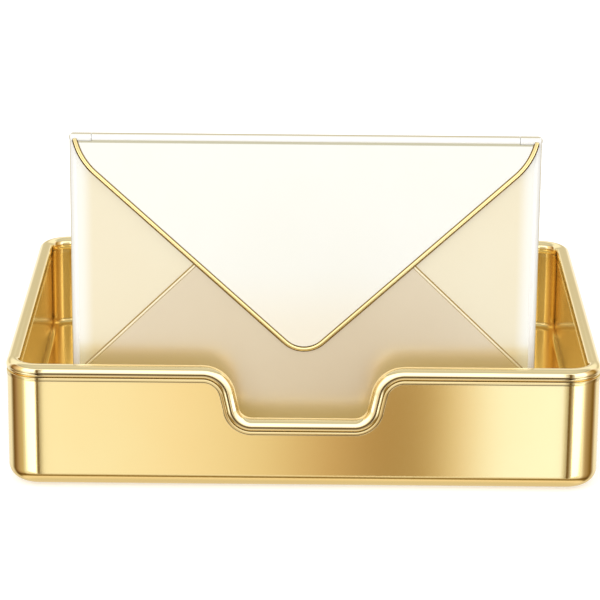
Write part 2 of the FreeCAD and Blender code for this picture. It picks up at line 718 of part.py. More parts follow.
def make_bottom_leaf():
    """Front leaf that overlaps the side leaves, with the bottom of the pocket."""
    leaf = body("BottomLeafBody")
    outline = sketch(leaf, "BottomLeafOutline", "XZ_Plane", "side_leaf_front")
    polygon(outline, leaf_corners() + [("leaf_half_width", "envelope_bottom"),
                                       ("-leaf_half_width", "envelope_bottom")])
    pad(leaf, outline, "leaf_skin")
    corners = [f"Edge{index}" for index, edge in enumerate(leaf.Tip.Shape.Edges, start=1)
               if edge.BoundBox.YLength > edge.BoundBox.XLength + edge.BoundBox.ZLength
               and edge.BoundBox.ZMin > number("envelope_bottom + bottom_leaf_side_height + overrun")]
    round_edges(leaf, corners, "bottom_leaf_corner_radius")
    floor = sketch(leaf, "BottomReturn", "XZ_Plane", "leaf_rear")
    polygon(floor, [("-leaf_half_width", "envelope_bottom"), ("leaf_half_width", "envelope_bottom"),
                    ("leaf_half_width", "envelope_bottom + leaf_skin"),
                    ("-leaf_half_width", "envelope_bottom + leaf_skin")])
    pad(leaf, floor, "envelope_body_depth - leaf_skin")
    finish(leaf, "bottom_leaf")
    edging = cut("BottomEdgingRod", feature("BottomEdgingSweep", seam_rod()),
                 behind("BehindBottomLeaf", "side_leaf_front"))
    finish(cut("BottomLeafEdging", edging, leaf), "bottom_leaf_edging")


def seam_rod():
    """Rod along the upper outline of the bottom leaf."""
    plane = -number("side_leaf_front")
    radius = number("bottom_leaf_corner_radius")
    (side_x, side_z), (top_x, top_z) = [(number(x), number(z)) for x, z in leaf_corners()[2:][::-1]]
    slope = math.atan2(top_z - side_z, side_x - top_x)
    back = radius * math.tan(slope / 2)
    end = (top_x + back * math.cos(slope), top_z - back * math.sin(slope))
    turn = 90 - math.degrees(slope)
    return swept_rod([straight((-side_x, plane, side_z), (-end[0], plane, end[1])),
                      bend((back - top_x, plane, top_z - radius), radius, 180 - turn, 90, "front"),
                      straight((back - top_x, plane, top_z), (top_x - back, plane, top_z)),
                      bend((top_x - back, plane, top_z - radius), radius, 90, turn, "front"),
                      straight((end[0], plane, end[1]), (side_x, plane, side_z))],
                     number("seam_radius"))


def behind(name, plane):
    """Block that fills the space behind a plane of the envelope."""
    return box(name, "tray_width", "half_depth", "envelope_height + 2 * overrun", "-half_width",
               "-" + plane, "envelope_bottom - overrun")


# Flap and hinge

def flap_geometry():
    """Tangent points of the flap's outline: start, end of the shoulder and start of the tip."""
    shoulder = (number("flap_shoulder"), number("hinge_height + flap_shoulder_rise"))
    tip = (0.0, number("hinge_height - flap_drop + flap_tip_radius"))
    big = number("flap_shoulder_radius")
    small = number("flap_tip_radius")
    across = shoulder[0] - tip[0]
    fall = shoulder[1] - tip[1]
    slope = math.atan2(fall, across) - math.asin((big - small) / math.hypot(across, fall))
    start = math.asin(number("flap_shoulder_rise") / big)
    return shoulder, tip, big, small, math.degrees(slope), math.degrees(start)


def flap_outline(item):
    """Pointed outline with two round shoulders and a round tip, closed along the hinge."""
    shoulder, tip, big, small, slope, start = flap_geometry()
    low = math.radians(slope)
    begin = (shoulder[0] + big * math.cos(math.radians(start)), number("hinge_height"))
    from_x = shoulder[0] + big * math.sin(low)
    from_z = shoulder[1] - big * math.cos(low)
    to_x = small * math.sin(low)
    to_z = tip[1] - small * math.cos(low)
    arc(item, (-shoulder[0], shoulder[1]), big, 180 + start, 270 - slope)
    line(item, (-from_x, from_z), (-to_x, to_z))
    arc(item, tip, small, 270 - slope, 270 + slope)
    line(item, (to_x, to_z), (from_x, from_z))
    arc(item, shoulder, big, 270 + slope, 360 - start)
    line(item, begin, (-begin[0], begin[1]))
    for joint in ((0, 2, 1, 1), (1, 2, 2, 1), (2, 2, 3, 1), (3, 2, 4, 1)):
        tie(item, "Tangent", *joint)
    tie(item, "Coincident", 4, 2, 5, 1)
    tie(item, "Coincident", 5, 2, 0, 1)
    tie(item, "Horizontal", 5)
    tie(item, "Equal", 0, 4)
    tie(item, "Symmetric", 0, 3, 4, 3, -2)
    tie(item, "PointOnObject", 2, 3, -2)
    size(item, "flap_shoulder_radius", "Radius", 0)
    size(item, "flap_tip_radius", "Radius", 2)
    size(item, "2 * flap_shoulder", "DistanceX", 0, 3, 4, 3)
    size(item, "hinge_height + flap_shoulder_rise", "DistanceY", -1, 1, 0, 3)
    size(item, "hinge_height - flap_drop + flap_tip_radius", "DistanceY", -1, 1, 2, 3)
    size(item, "hinge_height", "DistanceY", -1, 1, 5, 1)


def edging_rod():
    """Rod along the flap's outline, from hinge to hinge."""
    shoulder, tip, big, small, slope, start = flap_geometry()
    plane = -number("flap_rear")
    left = bend((-shoulder[0], plane, shoulder[1]), big, 180 + start, 270 - slope, "front")
    point = bend((tip[0], plane, tip[1]), small, 270 - slope, 270 + slope, "front")
    right = bend((shoulder[0], plane, shoulder[1]), big, 270 + slope, 360 - start, "front")
    first = straight(left.Vertexes[-1].Point, point.Vertexes[0].Point)
    second = straight(point.Vertexes[-1].Point, right.Vertexes[0].Point)
    return swept_rod([left, first, point, second, right], number("edging_radius"))


def along_hinge(name, radius, length, x):
    """Cylinder on the hinge axis."""
    return cylinder(name, radius, length, x, "-hinge_plane", "hinge_height", FreeCAD.Vector(1, 0, 0))


def make_hinge():
    """Knuckle with its block at each end of the envelope, and the pin through them."""
    for name, side in (("left", -1), ("right", 1)):
        first = "-envelope_width / 2" if side < 0 else "knuckle_inner"
        barrel = along_hinge("KnuckleBarrel_" + name, "barrel_radius", "knuckle_length", first)
        rounded = doc.addObject("Part::Fillet", "KnuckleRound_" + name)
        rounded.Base = barrel
        doc.recompute()
        ends = [index for index, edge in enumerate(barrel.Shape.Edges, start=1)
                if edge.BoundBox.XLength < number("overrun")
                and edge.BoundBox.Center.x * side > number("knuckle_inner + overrun")]
        rounding = number("knuckle_corner_radius")
        rounded.Edges = [(index, rounding, rounding) for index in ends]
        centre = f"{side} * (envelope_width / 2 - envelope_edge_radius)"
        block_x = centre if side < 0 else "knuckle_inner"
        block = box("KnuckleBlock_" + name, "knuckle_length - envelope_edge_radius",
                    "envelope_body_depth", "knuckle_block_height", block_x, "-side_leaf_front",
                    "leaf_top")
        end = cylinder("KnuckleEnd_" + name, "envelope_edge_radius", "knuckle_block_height", centre,
                       "-envelope_mid", "leaf_top")
        bore_start = ("-envelope_width / 2 + knuckle_end_wall" if side < 0
                      else "knuckle_inner - overrun")
        bore = along_hinge("KnuckleBore_" + name, "hinge_pin_diameter / 2 + hinge_press_gap",
                           "knuckle_length - knuckle_end_wall + overrun", bore_start)
        solid = fuse("KnuckleSolid_" + name, [rounded, block, end])
        finish(cut("Knuckle_" + name, solid, bore), "hinge_knuckle_" + name)
    finish(along_hinge("HingePin", "hinge_pin_diameter / 2", "envelope_width - 2 * knuckle_end_wall",
                       "-envelope_width / 2 + knuckle_end_wall"), "hinge_pin")


def make_flap():
    """Flap leaf, the barrel that it turns with and the round edging."""
    tube = along_hinge("BarrelRod", "barrel_radius", "barrel_length", "-barrel_length / 2")
    bore = along_hinge("BarrelBore", "hinge_pin_diameter / 2 + hinge_pin_gap",
                       "barrel_length + 2 * overrun", "-barrel_length / 2 - overrun")
    finish(cut("FlapBarrel", tube, bore), "flap_barrel")
    room = fuse("HingeRoom", [
        along_hinge("BarrelRoom", "barrel_radius", "barrel_length", "-barrel_length / 2"),
        along_hinge("KnuckleRoomLeft", "barrel_radius + knuckle_gap",
                    "knuckle_length + knuckle_gap + overrun",
                    "-envelope_width / 2 - overrun"),
        along_hinge("KnuckleRoomRight", "barrel_radius + knuckle_gap",
                    "knuckle_length + knuckle_gap + overrun", "knuckle_inner - knuckle_gap")])
    plate = body("FlapPlate")
    outline = sketch(plate, "FlapOutline", "XZ_Plane", "flap_rear")
    flap_outline(outline)
    pad(plate, outline, "flap_skin")
    leaf = cut("FlapLeaf", plate, room)
    finish(leaf, "flap_leaf")
    half = cut("FlapEdgingHalf", feature("FlapEdgingSweep", edging_rod()), behind("BehindFlap", "flap_rear"))
    finish(cut("FlapEdging", cut("FlapEdgingBand", half, plate), room), "flap_edging")


def check_document():
    """Stop when an object failed or a finished piece isn't sound."""
    for item in doc.Objects:
        if {"Invalid", "Error"} & set(item.State):
            raise ValueError(f"{item.Name} failed: {item.State}")
    for item in finished:
        if item.Shape.isNull() or not item.Shape.isValid() or not item.Shape.Solids:
            raise ValueError(f"{item.Label} has no sound shape")


def write_parts():
    """Write each finished piece to its own file."""
    os.makedirs("parts", exist_ok=True)
    for item in finished:
        item.Shape.exportStep(f"parts/{item.Label}.step")
        bounds = item.Shape.BoundBox
        print(f"{item.Label}: {len(item.Shape.Solids)} solids, {item.Shape.Volume:.1f} mm3, "
              f"x {bounds.XMin:.2f} {bounds.XMax:.2f}, y {bounds.YMin:.2f} {bounds.YMax:.2f}, "
              f"z {bounds.ZMin:.2f} {bounds.ZMax:.2f}")


fill_sheet()
make_outer_shell()
make_inner_liner()
make_rim()
make_understructure()
make_rail()
make_envelope_sides()
make_bottom_leaf()
make_hinge()
make_flap()
doc.recompute()
check_document()
write_parts()
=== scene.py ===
"""Studio scene of a gold letter tray with a finger notch and a metal envelope standing in it."""

import logging
import math
from collections.abc import Iterable, Sequence
from dataclasses import dataclass, field, replace
from enum import Enum

import bmesh
import bpy
from mathutils import Matrix, Vector

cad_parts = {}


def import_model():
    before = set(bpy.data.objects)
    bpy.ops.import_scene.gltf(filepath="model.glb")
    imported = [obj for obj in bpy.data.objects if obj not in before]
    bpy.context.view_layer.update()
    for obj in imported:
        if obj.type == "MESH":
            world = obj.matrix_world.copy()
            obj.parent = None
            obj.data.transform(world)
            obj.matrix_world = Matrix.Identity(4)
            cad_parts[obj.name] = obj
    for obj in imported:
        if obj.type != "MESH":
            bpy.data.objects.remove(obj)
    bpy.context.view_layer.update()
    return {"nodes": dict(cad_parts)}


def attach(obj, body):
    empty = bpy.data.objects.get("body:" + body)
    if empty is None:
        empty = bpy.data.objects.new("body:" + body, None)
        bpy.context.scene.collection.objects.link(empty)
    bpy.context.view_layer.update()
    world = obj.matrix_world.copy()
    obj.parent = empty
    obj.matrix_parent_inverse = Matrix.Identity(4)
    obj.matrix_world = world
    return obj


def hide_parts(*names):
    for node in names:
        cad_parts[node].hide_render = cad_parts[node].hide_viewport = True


LOG = logging.getLogger("letter_tray")
Tone = tuple[float, float, float]
Point = tuple[float, float, float]
Stops = Sequence[tuple[float, Tone]]
MM = 0.001
# Short length at each end of a straight stretch, which keeps the shading of its middle flat.
HOLD = 0.4 * MM
# Heights that differ by less are the same, and points that lie closer are merged.
NEAR = 0.01 * MM
MERGE = 0.0005 * MM
# Attribute that tells how much painted shade a point of the rim gets, in its grooves and along dark
# bands of the bead.
GROOVE_SHADE = "groove_shade"
WHITE: Tone = (1.0, 1.0, 1.0)


class Grain(Enum):
    """Which way the fine marks of a finish run, as the stretch of its pattern along X, Y and Z."""

    ALONG_Y = (1.0, 0.04, 1.0)
    EVEN = (1.0, 1.0, 1.0)


class Place(Enum):
    """What a shift of colour follows: a distance from the object's middle, or the weight of the
    painted groove shade.
    """

    WIDTH = 0
    DEPTH = 1
    HEIGHT = 2
    GROOVE_SHADE = 3


def grey(level: float) -> Tone:
    """Grey of a given brightness."""
    return (level, level, level)


def rgba(colour: object) -> object:
    """Adds full alpha to a plain tone and leaves an output socket as it is."""
    return (*colour, 1.0) if isinstance(colour, tuple) else colour


class Graph:
    """A node tree that is filled one node at a time."""

    def __init__(self, tree: bpy.types.NodeTree) -> None:
        """Empties the tree.

        Args:
            tree: Node tree of a material or of the world.
        """
        self.tree = tree
        tree.nodes.clear()

    def add(self, kind: str, settings: dict[str, object] | None = None,
            **inputs: object) -> bpy.types.Node:
        """Adds a node.

        Args:
            kind: Blender's name of the node type.
            settings: Properties of the node itself.
            **inputs: Socket names in lower case with underscores, each given a value or an output.

        Returns:
            The new node.
        """
        node = self.tree.nodes.new(kind)
        for name, value in (settings or {}).items():
            setattr(node, name, value)
        for name, value in inputs.items():
            self.feed(node, name, value)
        return node

    def feed(self, node: bpy.types.Node, name: str, value: object) -> None:
        """Sets one socket of a node.

        Args:
            node: Node that owns the socket.
            name: Socket name in lower case with underscores, or its number after an n.
            value: A plain value, or the output socket to link.
        """
        if name[0] == "n" and name[1:].isdigit():
            socket = node.inputs[int(name[1:])]
        else:
            socket = next(s for s in node.inputs
                          if s.enabled and s.name.lower().replace(" ", "_") == name)
        if isinstance(value, bpy.types.NodeSocket):
            self.tree.links.new(value, socket)
        else:
            socket.default_value = value

    def ramp(self, factor: bpy.types.NodeSocket, stops: Stops) -> bpy.types.NodeSocket:
        """Adds a colour ramp.

        Args:
            factor: Value from 0 to 1 that picks the colour.
            stops: Positions and colours from low to high.

        Returns:
            The ramp's colour output.
        """
        node = self.add("ShaderNodeValToRGB", fac=factor)
        elements = node.color_ramp.elements
        while len(elements) < len(stops):
            elements.new(1.0)
        for element, (position, tone) in zip(elements, stops):
            element.position = position
            element.color = rgba(tone)
        return node.outputs["Color"]

    def math(self, operation: str, *values: object) -> bpy.types.NodeSocket:
        """Adds a math node.

        Args:
            operation: Blender's name of the operation.
            *values: Numbers or outputs, in the order of the node's inputs.

        Returns:
            The node's output.
        """
        node = self.add("ShaderNodeMath", {"operation": operation})
        for index, value in enumerate(values):
            self.feed(node, f"n{index}", value)
        return node.outputs[0]

    def span(self, value: bpy.types.NodeSocket, low: float, high: float, start: float = 0.0,
             end: float = 1.0, easing: str = "LINEAR") -> bpy.types.NodeSocket:
        """Maps a range of values to another and holds it at both ends.

        Args:
            value: Output that is mapped.
            low: Value that gives the start.
            high: Value that gives the end.
            start: Result at low.
            end: Result at high.
            easing: Blender's name of the way between them.

        Returns:
            The mapped output.
        """
        return self.add("ShaderNodeMapRange", {"interpolation_type": easing}, value=value,
                        from_min=low, from_max=high, to_min=start, to_max=end).outputs[0]

    def mix(self, share: object, first: object, second: object,
            blend: str = "MIX") -> bpy.types.NodeSocket:
        """Mixes two colours.

        Args:
            share: Share of the second colour, as a number or an output.
            first: First colour, as a tone or an output.
            second: Second colour, as a tone or an output.
            blend: Blender's name of the way of mixing.

        Returns:
            The mixed colour.
        """
        node = self.add("ShaderNodeMix", {"data_type": "RGBA", "blend_type": blend}, factor=share,
                        a=rgba(first), b=rgba(second))
        return node.outputs["Result"]


def new_material(name: str) -> tuple[bpy.types.Material, Graph]:
    """Makes an empty material.

    Args:
        name: Name of the material.

    Returns:
        The material and its graph.
    """
    material = bpy.data.materials.new(name)
    material.use_nodes = True
    return material, Graph(material.node_tree)


@dataclass(frozen=True)
class Shift:
    """Change of a finish's colour from one place to another."""

    place: Place
    start: float
    end: float
    tone: Tone

    def share(self, graph: Graph, split: bpy.types.Node) -> bpy.types.NodeSocket:
        """Adds the nodes that tell how far the shift has come.

        Args:
            graph: Material's graph.
            split: Separated object coordinates.

        Returns:
            Output from 0 before the shift to 1 behind it.
        """
        if self.place is Place.GROOVE_SHADE:
            value = graph.add("ShaderNodeAttribute", {"attribute_name": GROOVE_SHADE}).outputs["Fac"]
        else:
            value = graph.math("ABSOLUTE", split.outputs[self.place.value])
        return graph.span(value, self.start, self.end, easing="SMOOTHSTEP")


@dataclass(frozen=True)
class MetalFinish:
    """A plated or lacquered metal surface with soft clouds, fine marks and shifts of colour."""

    name: str
    tone: Tone
    shade: Tone
    roughness: float
    spread: float
    density: float
    relief: float
    grain: Grain = Grain.EVEN
    metallic: float = 1.0
    shifts: tuple[Shift, ...] = ()
    cloud_density: float = 14.0
    cloud_detail: float = 3.0
    cloud_range: tuple[float, float] = (0.35, 0.65)
    mark_detail: float = 4.0
    mark_roughness: float = 0.6
    mark_range: tuple[float, float] = (0.3, 0.7)
    mark_depth: float = 0.1 * MM

    def build(self) -> bpy.types.Material:
        """Makes the material.

        Returns:
            A material whose patterns follow the object's own coordinates.
        """
        material, graph = new_material(self.name)
        place = graph.add("ShaderNodeTexCoord").outputs["Object"]
        stretched = graph.add("ShaderNodeMapping", vector=place, scale=self.grain.value).outputs[0]
        cloud = graph.add("ShaderNodeTexNoise", vector=place, scale=self.cloud_density,
                          detail=self.cloud_detail).outputs["Fac"]
        marks = graph.add("ShaderNodeTexNoise", vector=stretched, scale=self.density,
                          detail=self.mark_detail, roughness=self.mark_roughness).outputs["Fac"]
        colour = graph.mix(graph.span(cloud, *self.cloud_range), self.tone, self.shade)
        split = graph.add("ShaderNodeSeparateXYZ", vector=place)
        for shift in self.shifts:
            colour = graph.mix(shift.share(graph, split), colour, shift.tone)
        rough = graph.span(marks, *self.mark_range, self.roughness - self.spread,
                           self.roughness + self.spread)
        bump = graph.add("ShaderNodeBump", height=marks, strength=self.relief,
                         distance=self.mark_depth).outputs[0]
        shader = graph.add("ShaderNodeBsdfPrincipled", base_color=colour, roughness=rough,
                           normal=bump, metallic=self.metallic)
        graph.add("ShaderNodeOutputMaterial", surface=shader.outputs[0])
        return material


@dataclass(frozen=True)
class RubberFinish:
    """Soft dark rubber with a fine pebbled skin."""

    name: str = "pad_rubber"
    tone: Tone = (0.020, 0.020, 0.021)
    shade: Tone = (0.034, 0.033, 0.032)
    roughness: float = 0.75
    cloud_density: float = 120.0
    pebble_density: float = 900.0
    pebble_relief: float = 0.4
    pebble_depth: float = 0.1 * MM

    def build(self) -> bpy.types.Material:
        """Makes the material.

        Returns:
            A rough dark material with pebbled relief.
        """
        material, graph = new_material(self.name)
        place = graph.add("ShaderNodeTexCoord").outputs["Object"]
        pebbles = graph.add("ShaderNodeTexVoronoi", vector=place,
                            scale=self.pebble_density).outputs["Distance"]
        cloud = graph.add("ShaderNodeTexNoise", vector=place,
                          scale=self.cloud_density).outputs["Fac"]
        bump = graph.add("ShaderNodeBump", height=pebbles, strength=self.pebble_relief,
                         distance=self.pebble_depth).outputs[0]
        shader = graph.add("ShaderNodeBsdfPrincipled", normal=bump, roughness=self.roughness,
                           base_color=graph.mix(cloud, self.tone, self.shade))
        graph.add("ShaderNodeOutputMaterial", surface=shader.outputs[0])
        return material


# Painted shade: dark tone laid into the rim's grooves and onto the bead's dark bands, by the groove
# weight.
PAINTED_SHADE_TONE: Tone = (0.15, 0.095, 0.035)
PAINTED_EDGE_SHADE: Tone = (0.62, 0.54, 0.34)
SHADE_LINED = (Shift(Place.GROOVE_SHADE, start=0.0, end=1.0, tone=PAINTED_SHADE_TONE),)

SATIN_GOLD = MetalFinish(
    name="satin_gold", tone=(1.0, 0.81, 0.40), shade=(1.0, 0.79, 0.375), roughness=0.115,
    spread=0.02, density=1500.0, relief=0.06)
BEAD_GOLD = MetalFinish(
    name="bead_gold", tone=(1.0, 0.86, 0.52), shade=(0.99, 0.84, 0.49), roughness=0.08,
    spread=0.02, density=500.0, relief=0.03, shifts=SHADE_LINED)
COLLAR_GOLD = MetalFinish(
    name="collar_gold", tone=(0.82, 0.66, 0.34), shade=(0.80, 0.64, 0.32), roughness=0.10,
    spread=0.02, density=500.0, relief=0.03, shifts=SHADE_LINED)
DEEP_GOLD = MetalFinish(
    name="deep_gold", tone=(0.84, 0.65, 0.28), shade=(0.81, 0.61, 0.25), roughness=0.17,
    spread=0.03, density=400.0, relief=0.05)
PEARL = MetalFinish(
    name="pearl_metal", tone=(0.98, 0.97, 0.90), shade=(0.97, 0.96, 0.88), roughness=0.28,
    spread=0.0, density=300.0, relief=0.006, metallic=0.35)
# The flap has painted warm shade that makes it creamier towards its tip, and a painted shade line
# below its hinge.
FLAP_PEARL = replace(PEARL, name="flap_pearl_metal", shifts=(
    Shift(Place.HEIGHT, start=125.0 * MM, end=80.0 * MM, tone=(0.99, 0.93, 0.78)),
    Shift(Place.HEIGHT, start=191.3 * MM, end=191.6 * MM, tone=(0.60, 0.56, 0.40))))
# The side leaves are the envelope's pearl with painted warm shade, and a painted highlight makes
# them almost white along their outer edges.
CREAM_SHADE_AND_HIGHLIGHT = MetalFinish(
    name="cream_metal", tone=(0.92, 0.835, 0.625), shade=(0.91, 0.815, 0.595), roughness=0.26,
    spread=0.0, density=300.0, relief=0.006, metallic=0.5,
    shifts=(Shift(Place.WIDTH, start=114.0 * MM, end=122.0 * MM, tone=(0.99, 0.97, 0.88)),))
# The bottom leaf is the envelope's pearl with painted warm shade.
SAND_PAINTED_SHADE = MetalFinish(
    name="sand_metal", tone=(0.80, 0.695, 0.515), shade=(0.78, 0.67, 0.49), roughness=0.30,
    spread=0.0, density=300.0, relief=0.006, metallic=0.65)
# The envelope's edges carry a painted shade line where they turn away from the front.
IVORY = MetalFinish(
    name="ivory_edge", tone=(1.0, 0.99, 0.95), shade=(0.99, 0.98, 0.93), roughness=0.34,
    spread=0.03, density=300.0, relief=0.01, metallic=0.12,
    shifts=(Shift(Place.WIDTH, start=126.0 * MM, end=126.8 * MM, tone=PAINTED_EDGE_SHADE),
            Shift(Place.HEIGHT, start=195.8 * MM, end=196.2 * MM, tone=PAINTED_EDGE_SHADE)))
# Piping and seam carry painted shade where they meet the leaves behind them.
PIPING = MetalFinish(
    name="champagne_piping", tone=(0.91, 0.75, 0.37), shade=(0.89, 0.72, 0.34), roughness=0.14,
    spread=0.02, density=500.0, relief=0.03,
    shifts=(Shift(Place.DEPTH, start=107.18 * MM, end=106.98 * MM, tone=(0.24, 0.165, 0.06)),))
SEAM = MetalFinish(
    name="champagne_seam", tone=(0.93, 0.83, 0.60), shade=(0.92, 0.81, 0.57), roughness=0.24,
    spread=0.02, density=500.0, relief=0.02, metallic=0.5,
    shifts=(Shift(Place.DEPTH, start=105.18 * MM, end=105.04 * MM, tone=(0.42, 0.31, 0.13)),))
PLAIN_STEEL = MetalFinish(
    name="plain_steel", tone=(0.62, 0.62, 0.60), shade=(0.52, 0.52, 0.51), roughness=0.32,
    spread=0.06, density=700.0, relief=0.15, grain=Grain.ALONG_Y)
FASTENER = MetalFinish(
    name="brass_fastener", tone=(0.86, 0.66, 0.32), shade=(0.76, 0.56, 0.26), roughness=0.22,
    spread=0.05, density=900.0, relief=0.08)
RUBBER = RubberFinish()

# Nodes of the frame that each finish dresses.
CARRIED_OVER = {
    SATIN_GOLD: ("outer_shell",),
    DEEP_GOLD: ("inner_liner", "letter_rail"),
    COLLAR_GOLD: ("rim_collar",),
    BEAD_GOLD: ("rim_bead",),
    PEARL: ("envelope_back",),
    FLAP_PEARL: ("flap_leaf",),
    CREAM_SHADE_AND_HIGHLIGHT: ("side_leaf_left", "side_leaf_right"),
    SAND_PAINTED_SHADE: ("bottom_leaf",),
    IVORY: ("side_strip_left", "side_strip_right", "hinge_knuckle_left", "hinge_knuckle_right",
            "flap_barrel"),
    PIPING: ("flap_edging",),
    SEAM: ("bottom_leaf_edging",),
    PLAIN_STEEL: ("floor_post_front_left", "floor_post_front_right", "floor_post_rear_left",
                  "floor_post_rear_right", "floor_rib_left", "floor_rib_middle",
                  "floor_rib_right", "hinge_pin"),
    FASTENER: ("base_screws", "rail_rivets"),
    RUBBER: ("foot_pad_front_left", "foot_pad_front_right", "foot_pad_rear_left",
             "foot_pad_rear_right"),
}


@dataclass(frozen=True)
class Run:
    """Straight stretch of a swept path."""

    step: Vector


@dataclass(frozen=True)
class Bend:
    """Round stretch of a swept path."""

    centre: Vector
    axis: Vector
    degrees: float
    steps: int = 16


class Sweep:
    """A section drawn along runs and bends, one ring of it after another."""

    def __init__(self, section: Sequence[Vector], closed: bool,
                 grooves: Sequence[float] = ()) -> None:
        """Places the first ring.

        Args:
            section: Points of the section where the path starts.
            closed: Whether the section's last point joins its first.
            grooves: How much painted shade each point gets, from 0 to 1.
        """
        self.mesh = bmesh.new()
        weight = self.mesh.verts.layers.float.new(GROOVE_SHADE)
        points = [self.mesh.verts.new(point) for point in section]
        for point, depth in zip(points, grooves):
            point[weight] = depth
        pairs = list(zip(points, points[1:]))
        if closed:
            pairs.append((points[-1], points[0]))
        self.ring: list = points + [self.mesh.edges.new(pair) for pair in pairs]

    def run(self, step: Vector) -> list[bmesh.types.BMVert]:
        """Draws the ring straight on.

        Args:
            step: How far and which way.

        Returns:
            The vertices of the new ring.
        """
        edges = [item for item in self.ring if isinstance(item, bmesh.types.BMEdge)]
        made = bmesh.ops.extrude_edge_only(self.mesh, edges=edges)["geom"]
        points = [item for item in made if isinstance(item, bmesh.types.BMVert)]
        known = set(points)
        lines = [item for item in made
                 if isinstance(item, bmesh.types.BMEdge) and set(item.verts) <= known]
        bmesh.ops.translate(self.mesh, verts=points, vec=step)
        self.ring = points + lines
        return points

    def stretch(self, step: Vector) -> None:
        """Draws the ring straight on, with a short length at each end that keeps the middle flat.

        Args:
            step: How far and which way.
        """
        end = step.normalized() * HOLD
        self.run(end)
        self.run(step - 2 * end)
        self.run(end)

    def bend(self, turn: Bend) -> None:
        """Draws the ring round an axis.

        Args:
            turn: Centre, axis and angle of the bend.
        """
        made = bmesh.ops.spin(self.mesh, geom=self.ring, cent=turn.centre, axis=turn.axis,
                              dvec=(0, 0, 0), angle=math.radians(turn.degrees), steps=turn.steps,
                              use_merge=False, use_normal_flip=False, use_duplicate=False)
        self.ring = [item for item in made["geom_last"]
                     if not isinstance(item, bmesh.types.BMFace)]

    def follow(self, route: Iterable[Run | Bend]) -> None:
        """Draws the ring along a whole route.

        Args:
            route: Runs and bends in order.
        """
        for stretch in route:
            if isinstance(stretch, Run):
                self.stretch(stretch.step)
            else:
                self.bend(stretch)

    def close(self) -> None:
        """Joins the last ring to the first where they lie on each other."""
        bmesh.ops.remove_doubles(self.mesh, verts=self.mesh.verts, dist=MERGE)

    def fade_painted_shade(self, start: float, end: float, rest: float) -> None:
        """Lets the painted shade of the grooves fade towards the corners of the rim.

        Args:
            start: Distance from the middle where the fading starts.
            end: Distance where it ends.
            rest: Share of the painted shade that is left there.
        """
        weight = self.mesh.verts.layers.float[GROOVE_SHADE]
        for point in self.mesh.verts:
            gone = min(max((abs(point.co.x) - start) / (end - start), 0.0), 1.0)
            point[weight] *= 1.0 - (1.0 - rest) * gone


class Workshop:
    """Turns finished bmeshes into pieces of the scene."""

    def __init__(self) -> None:
        """Starts with no materials made."""
        self.finishes: dict[object, bpy.types.Material] = {}

    def finish(self, look: MetalFinish | RubberFinish) -> bpy.types.Material:
        """Makes a finish once.

        Args:
            look: The finish.

        Returns:
            Its material.
        """
        if look not in self.finishes:
            self.finishes[look] = look.build()
        return self.finishes[look]

    def dress(self, node: bpy.types.Object, look: MetalFinish | RubberFinish) -> None:
        """Gives a carried-over node its finish.

        Args:
            node: The node's object.
            look: The finish.
        """
        for slot in node.material_slots:
            slot.link = "OBJECT"
            slot.material = self.finish(look)

    def piece(self, mesh: bmesh.types.BMesh, name: str, look: MetalFinish, body: str,
              stands_for: str, crease: float = 30.0) -> bpy.types.Object:
        """Makes a piece of the object.

        Args:
            mesh: The finished bmesh, which is freed.
            name: Name of the piece.
            look: Its finish.
            body: Body that it moves with.
            stands_for: Node that it replaces.
            crease: Angle in degrees from which an edge is sharp.

        Returns:
            The new object.
        """
        bmesh.ops.recalc_face_normals(mesh, faces=mesh.faces)
        data = bpy.data.meshes.new(name)
        mesh.to_mesh(data)
        mesh.free()
        data.polygons.foreach_set("use_smooth", [True] * len(data.polygons))
        data.set_sharp_from_angle(angle=math.radians(crease))
        data.materials.append(self.finish(look))
        thing = bpy.data.objects.new(name, data)
        bpy.context.scene.collection.objects.link(thing)
        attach(thing, body)
        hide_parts(stands_for)
        LOG.info("%s: %d faces", name, len(data.polygons))
        return thing


@dataclass
class NotchLine:
    """The line of the finger notch along the axis of the rim bead, in metres and degrees."""

    mouth: float = 55.1 * MM
    shoulder: float = 14.4 * MM
    foot: float = 11.2 * MM
    flank: float = 10.0 * MM
    angle: float = 77.8
    steps: int = 14

    @property
    def depth(self) -> float:
        """Height between the rim and the floor of the notch."""
        bends = (self.shoulder + self.foot) * (1.0 - math.cos(math.radians(self.angle)))
        return bends + self.flank * math.sin(math.radians(self.angle))

    @property
    def floor(self) -> float:
        """Half the width of the level floor."""
        bends = (self.shoulder + self.foot) * math.sin(math.radians(self.angle))
        return self.mouth - bends - self.flank * math.cos(math.radians(self.angle))

    def half(self, drop: float) -> list[tuple[float, float]]:
        """Left half of a line parallel to the bead's axis.

        Args:
            drop: How far the line runs below the axis.

        Returns:
            Points as x and height against the rim's axis, from the mouth to the floor.
        """
        points = []
        for index in range(self.steps + 1):
            turn = math.radians(90.0 - self.angle * index / self.steps)
            radius = self.shoulder - drop
            points.append((-self.mouth + radius * math.cos(turn),
                           -self.shoulder + radius * math.sin(turn)))
        for index in range(self.steps + 1):
            turn = math.radians(270.0 - self.angle * (1.0 - index / self.steps))
            radius = self.foot + drop
            points.append((-self.floor + radius * math.cos(turn),
                           self.foot - self.depth + radius * math.sin(turn)))
        return points

    def whole(self, drop: float) -> list[tuple[float, float]]:
        """The line from its left mouth to its right mouth.

        Args:
            drop: How far the line runs below the axis.

        Returns:
            Points as x and height against the rim's axis.
        """
        left = self.half(drop)
        return left + [(-x, height) for x, height in reversed(left)]


